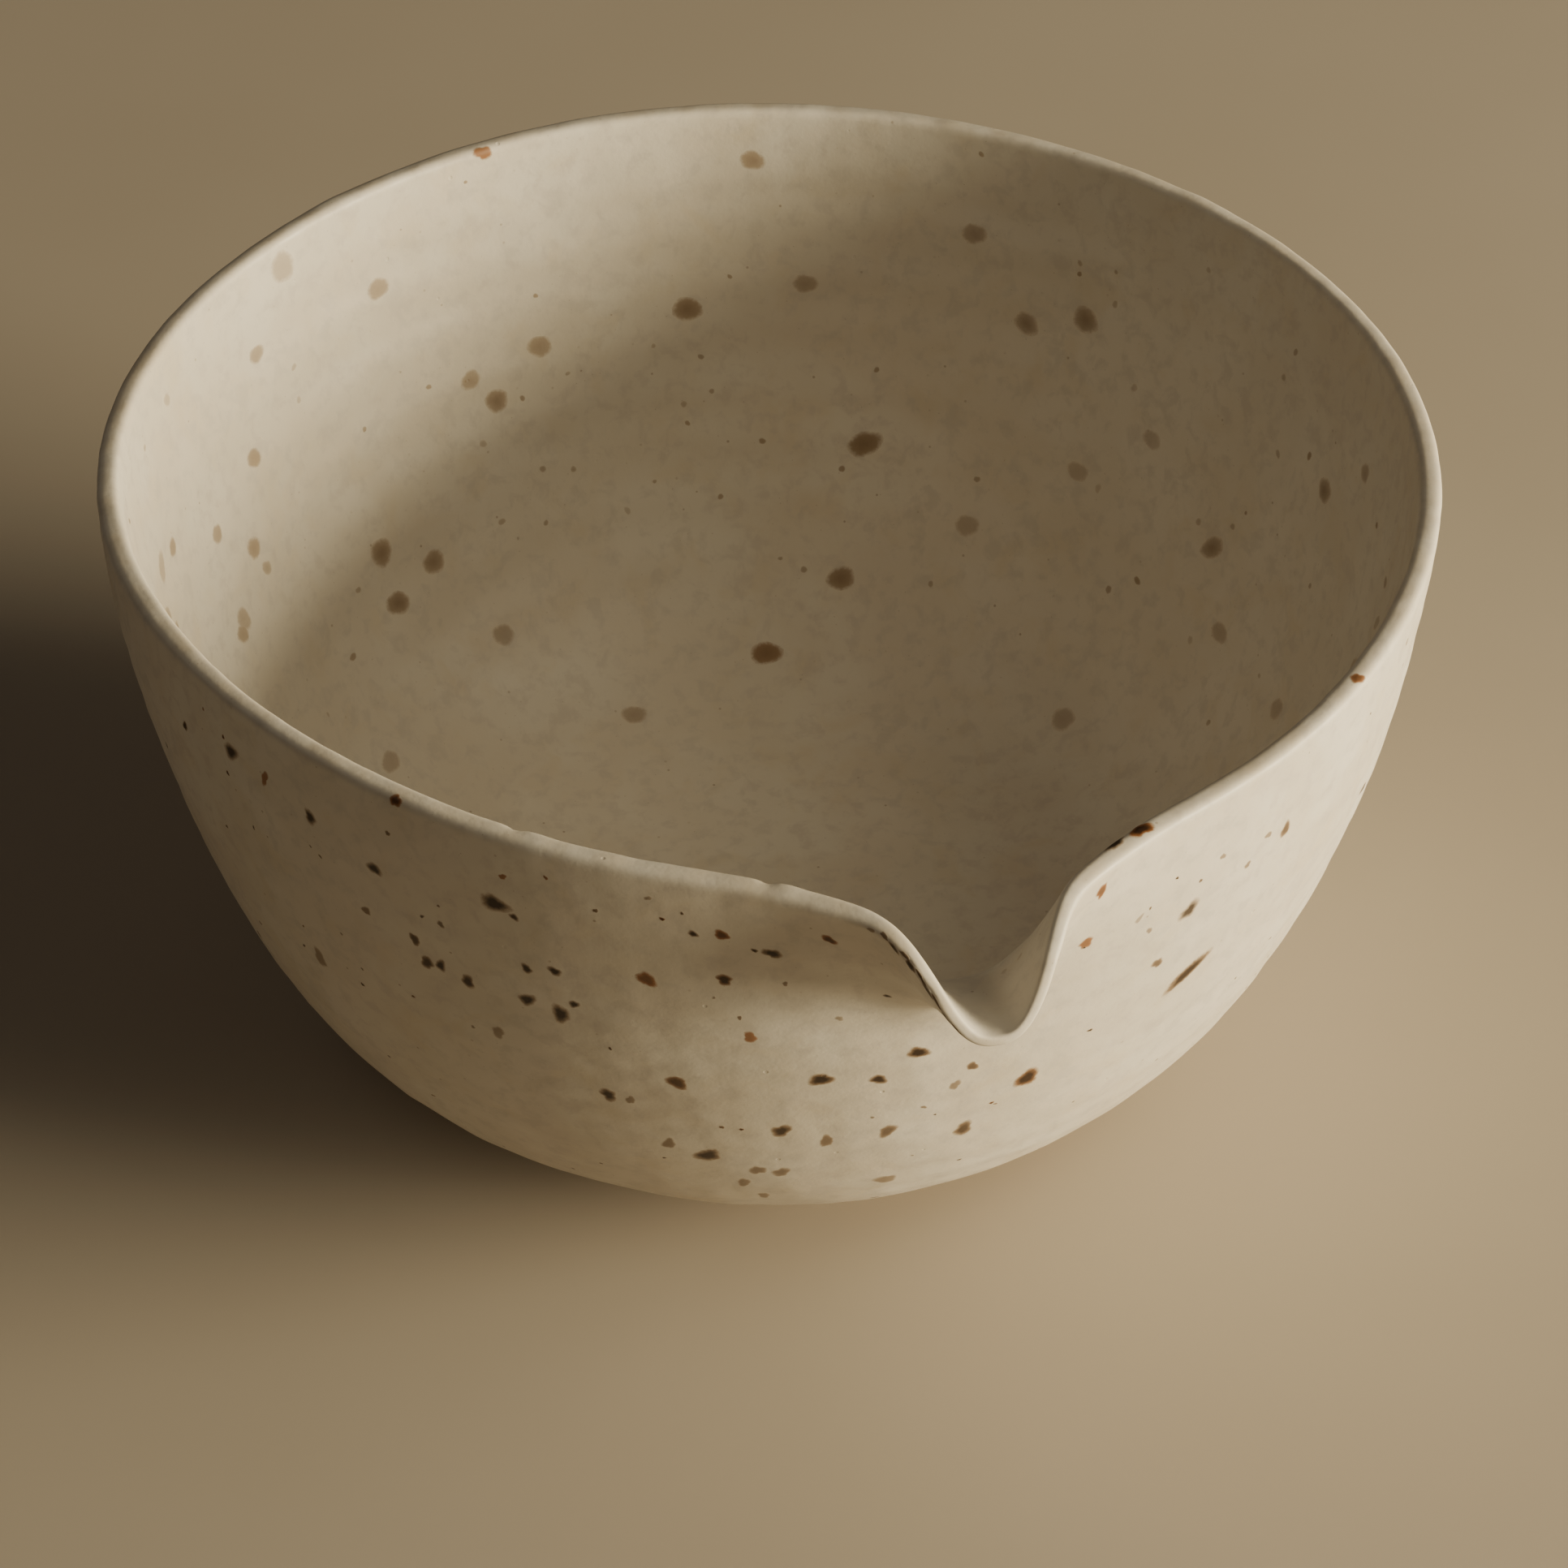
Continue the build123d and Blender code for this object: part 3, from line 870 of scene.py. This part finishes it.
def stoneware_material():
    n = Nodes("bare_stoneware")
    clouds = n.noise(14.0, 4.0, 0.6, 0.5)
    grit = n.noise(0.7, 3.0, 0.65)
    colour = n.blend(n.ramp(clouds, 0.3, 0.7), (0.43, 0.31, 0.205), (0.55, 0.43, 0.31))
    colour = n.blend(n.times(n.ramp(grit, 0.5, 0.75), 0.5), colour, (0.36, 0.25, 0.16))
    dots, tone = freckles(n, 1.9, 0.34, 0.35)
    colour = n.blend(n.times(dots, n.ramp(tone, 0.0, 1.0, 0.4, 0.95)), colour, (0.09, 0.045, 0.025))
    n.join(colour, n.shader.inputs["Base Color"])
    n.join(n.ramp(grit, 0.3, 0.7, 0.78, 0.92), n.shader.inputs["Roughness"])
    tooth = n.bump(n.noise(0.35, 3.0, 0.6), 0.03, 0.8)
    n.join(n.bump(grit, 0.05, 0.5, tooth), n.shader.inputs["Normal"])
    return n.material


def floor_material():
    n = Nodes("pale_floor")
    colour = n.blend(n.ramp(n.noise(90.0, 3.0), 0.3, 0.7), (0.46, 0.395, 0.32), (0.48, 0.415, 0.34))
    n.join(colour, n.shader.inputs["Base Color"])
    n.shader.inputs["Roughness"].default_value = 0.9
    return n.material


# ---------------------------------------------------------------- stage, light and camera


def build_floor():
    mesh = bpy.data.meshes.new("floor")
    half = 6.0
    drop = -0.00005
    corners = [(-half, -half, drop), (half, -half, drop), (half, half, drop), (-half, half, drop)]
    mesh.from_pydata(corners, [], [(0, 1, 2, 3)])
    mesh.materials.append(floor_material())
    floor = bpy.data.objects.new("floor", mesh)
    bpy.context.scene.collection.objects.link(floor)


def direction(azimuth, elevation):
    """From the bowl towards an azimuth, measured from the spout like deg."""
    a, e = math.radians(azimuth), math.radians(elevation)
    return Vector((math.sin(a) * math.cos(e), -math.cos(a) * math.cos(e), math.sin(e)))


def area_light(name, azimuth, elevation, distance, width, height, power, colour):
    data = bpy.data.lights.new(name, "AREA")
    data.shape = "RECTANGLE"
    data.size = width
    data.size_y = height
    data.energy = power
    data.color = colour
    light = bpy.data.objects.new(name, data)
    toward = direction(azimuth, elevation)
    light.location = Vector(CAMERA_AIM) + toward * distance
    light.rotation_mode = "QUATERNION"
    light.rotation_quaternion = toward.to_track_quat("Z", "Y")
    bpy.context.scene.collection.objects.link(light)


def build_lights():
    area_light("window_key", KEY_AZIMUTH, KEY_ELEVATION, 1.3, 0.75, 0.44, 41.5, (1.0, 0.87, 0.585))
    area_light("window_sky", 58.0, 46.0, 1.3, 0.7, 0.5, 3.0, (1.0, 0.87, 0.60))
    area_light("far_side_fill", -100.0, 52.0, 1.7, 1.2, 1.2, 1.3, (1.0, 0.88, 0.70))
    world = bpy.data.worlds.new("studio")
    world.use_nodes = True
    sky = world.node_tree.nodes["Background"]
    sky.inputs["Color"].default_value = (1.0, 0.86, 0.72, 1.0)
    sky.inputs["Strength"].default_value = 0.035
    bpy.context.scene.world = world


def build_camera():
    back = direction(CAMERA_AZIMUTH, CAMERA_ELEVATION)
    right = Vector((0, 0, 1)).cross(back).normalized()
    up = back.cross(right)
    c, s = math.cos(math.radians(CAMERA_ROLL)), math.sin(math.radians(CAMERA_ROLL))
    x_axis = right * c - up * s
    y_axis = right * s + up * c
    data = bpy.data.cameras.new("photo_view")
    data.lens = LENS
    data.sensor_width = 36.0
    data.clip_start = 0.01
    data.clip_end = 30.0
    camera = bpy.data.objects.new("photo_view", data)
    place = Vector(CAMERA_AIM) + back * CAMERA_DISTANCE + x_axis * CAMERA_RIGHT + y_axis * CAMERA_UP
    turn = Matrix((x_axis, y_axis, back)).transposed().to_4x4()
    camera.matrix_world = Matrix.Translation(place) @ turn
    bpy.context.scene.collection.objects.link(camera)
    bpy.context.scene.camera = camera


# ---------------------------------------------------------------- put together

outer, liner = build_glaze(glaze_material("liner_glaze_satin"), glaze_material("outer_glaze_satin"))
clay = build_clay(stoneware_material())
iron = speck_material("iron_speck", 0.45, 1.15, 0.95, (0.030, 0.015, 0.008))
veiled = speck_material("iron_speck_veiled", 0.0, 1.5, 0.48, (0.165, 0.105, 0.060))
all_outside = drawn_out(OUTSIDE_SPECKS) + chance_specks(RANDOM_OUTSIDE, False, 21)
all_inside = INSIDE_SPECKS + chance_specks(RANDOM_INSIDE, True, 22)
outside_specks = build_specks("iron_specks_outside", all_outside, s_outside, iron, 1.0, 31)
inside_specks = build_specks("iron_specks_inside", all_inside, s_inside, veiled, 0.4, 32)
# the rim specks include painted shade along the left lip's outer edge
rim_specks = build_specks("iron_specks_and_lip_shade_rim", RIM_SPECKS_AND_LIP_SHADE, lambda s: s, iron, 1.0, 33)

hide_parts("clay_body")
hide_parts("liner_glaze")
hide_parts("outer_glaze")
for piece in (clay, liner, outer, outside_specks, inside_specks, rim_specks):
    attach(piece, "root")

build_floor()
build_lights()
build_camera()
